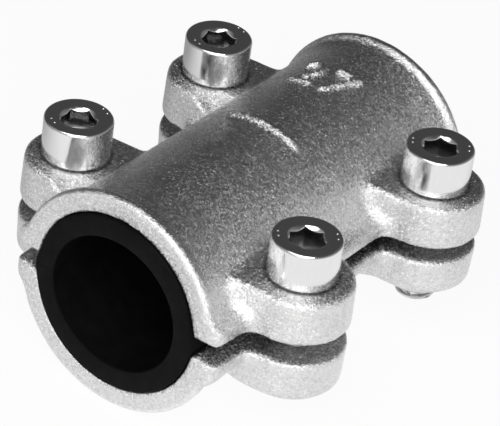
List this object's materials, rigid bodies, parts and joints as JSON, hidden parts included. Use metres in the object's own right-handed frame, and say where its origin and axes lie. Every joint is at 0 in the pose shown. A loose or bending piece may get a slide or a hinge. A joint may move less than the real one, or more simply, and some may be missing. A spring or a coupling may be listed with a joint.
{
  "type": "pipe repair clamp",
  "caption": "Two-part cast pipe repair clamp with a thick rubber sleeve, closed round a pipe by socket head screws through side ears.",
  "frame": {"origin": "centre of the pipe bore, halfway along the clamp", "axes": "+Y along the pipe, +X across the ears, +Z along the screws towards their heads"},
  "size_m": [0.0722, 0.082, 0.0436],
  "materials": {
    "casting": "galvanised, fine grain of the sand mould",
    "screw": "bright zinc plated, smooth",
    "rubber": "matt black"
  },
  "bodies": {
    "lower_half": {"lower_shell": "casting", "rubber_sleeve": "rubber"},
    "upper_half": {"upper_shell": "casting"},
    "screw_front_left": {"screw_front_left": "screw"},
    "screw_front_right": {"screw_front_right": "screw"},
    "screw_back_left": {"screw_back_left": "screw"},
    "screw_back_right": {"screw_back_right": "screw"}
  },
  "joints": [
    {"name": "upper_shell_lift", "type": "slide", "parent": "lower_half", "child": "upper_half", "axis": [0, 0, 1], "range_m": [0, 0.012]},
    {"name": "screw_front_left_turn", "type": "hinge", "parent": "upper_half", "child": "screw_front_left", "pos_m": [-0.026, -0.02125, 0.0108], "axis": [0, 0, 1], "range_deg": [0, 3460]},
    {"name": "screw_front_right_turn", "type": "hinge", "parent": "upper_half", "child": "screw_front_right", "pos_m": [0.026, -0.02125, 0.0108], "axis": [0, 0, 1], "range_deg": [0, 3460]},
    {"name": "screw_back_left_turn", "type": "hinge", "parent": "upper_half", "child": "screw_back_left", "pos_m": [-0.026, 0.02125, 0.0108], "axis": [0, 0, 1], "range_deg": [0, 3460]},
    {"name": "screw_back_right_turn", "type": "hinge", "parent": "upper_half", "child": "screw_back_right", "pos_m": [0.026, 0.02125, 0.0108], "axis": [0, 0, 1], "range_deg": [0, 3460]}
  ],
  "couplings": [
    {"joint": "screw_front_left_turn", "follows": "upper_shell_lift", "rad_per_m": 5026.5},
    {"joint": "screw_front_right_turn", "follows": "upper_shell_lift", "rad_per_m": 5026.5},
    {"joint": "screw_back_left_turn", "follows": "upper_shell_lift", "rad_per_m": 5026.5},
    {"joint": "screw_back_right_turn", "follows": "upper_shell_lift", "rad_per_m": 5026.5}
  ]
}
